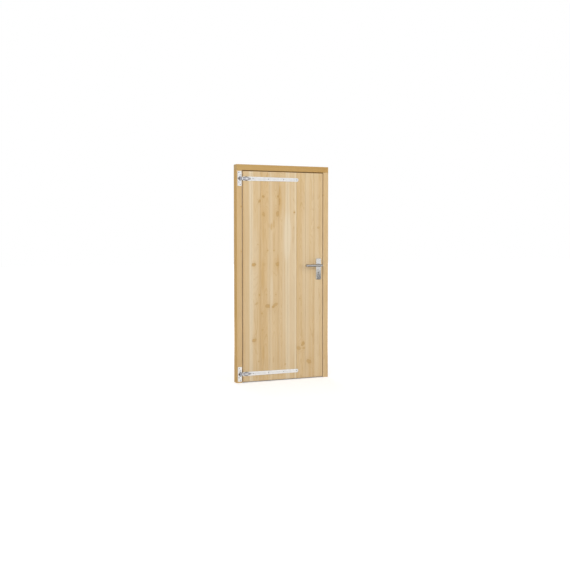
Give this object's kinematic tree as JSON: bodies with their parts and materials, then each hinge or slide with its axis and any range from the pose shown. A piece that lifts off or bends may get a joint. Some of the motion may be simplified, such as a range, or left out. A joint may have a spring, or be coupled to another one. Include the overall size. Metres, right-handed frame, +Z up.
{
  "type": "boarded timber door",
  "caption": "Outside door of upright tongued softwood boards on a braced rear frame, hung in a timber frame on long cross hinges, with a lever handle and a cylinder lock.",
  "frame": {"origin": "foot of the frame's outer face on the hinge side, half way through its depth", "axes": "+X from the hinge side to the latch side, +Y from outside to inside, +Z up"},
  "size_m": [0.955, 0.191, 2.084],
  "materials": {
    "board_timber": "planed, bare",
    "frame_timber": "planed, bare",
    "head_timber": "planed, bare",
    "rear_timber": "planed, bare",
    "galvanised_steel": "bright zinc plated",
    "satin_steel": "satin",
    "polished_steel": "polished",
    "nickel": "nickel plated"
  },
  "bodies": {
    "frame": {"hinge_jamb": "frame_timber", "latch_jamb": "frame_timber", "head": "head_timber", "threshold": "frame_timber", "hinge_side_stop": "frame_timber", "latch_side_stop": "frame_timber", "head_stop": "frame_timber", "strike_plate": "satin_steel", "upper_hinge_plate": "galvanised_steel", "upper_hinge_pin": "galvanised_steel", "lower_hinge_plate": "galvanised_steel", "lower_hinge_pin": "galvanised_steel"},
    "leaf": {"hinge_stile": "rear_timber", "lock_stile": "rear_timber", "top_rail": "rear_timber", "middle_rail": "rear_timber", "bottom_rail": "rear_timber", "lower_brace": "rear_timber", "upper_brace": "rear_timber", "board_1": "board_timber", "board_2": "board_timber", "board_3": "board_timber", "board_4": "board_timber", "board_5": "board_timber", "board_6": "board_timber", "board_7": "board_timber", "board_8": "board_timber", "board_9": "board_timber", "upper_hinge_strap": "galvanised_steel", "upper_hinge_bolt": "galvanised_steel", "lower_hinge_strap": "galvanised_steel", "lower_hinge_bolt": "galvanised_steel", "lock_case": "satin_steel", "latch_bolt": "satin_steel", "dead_bolt": "satin_steel", "lock_cylinder": "nickel", "outside_lock_plate": "satin_steel", "inside_lock_plate": "satin_steel"},
    "handle": {"outside_lever": "polished_steel", "inside_lever": "polished_steel", "spindle": "satin_steel"}
  },
  "joints": [
    {"name": "leaf_swing", "type": "hinge", "parent": "frame", "child": "leaf", "pos_m": [0.0335, -0.051, 0], "axis": [0, 0, -1], "range_deg": [0, 165]},
    {"name": "handle_turn", "type": "hinge", "parent": "leaf", "child": "handle", "pos_m": [0.849, -0.042, 1.116], "axis": [0, -1, 0], "range_deg": [0, 40], "stiffness_Nm_per_rad": 1.5, "springref_deg": -57.3}
  ]
}
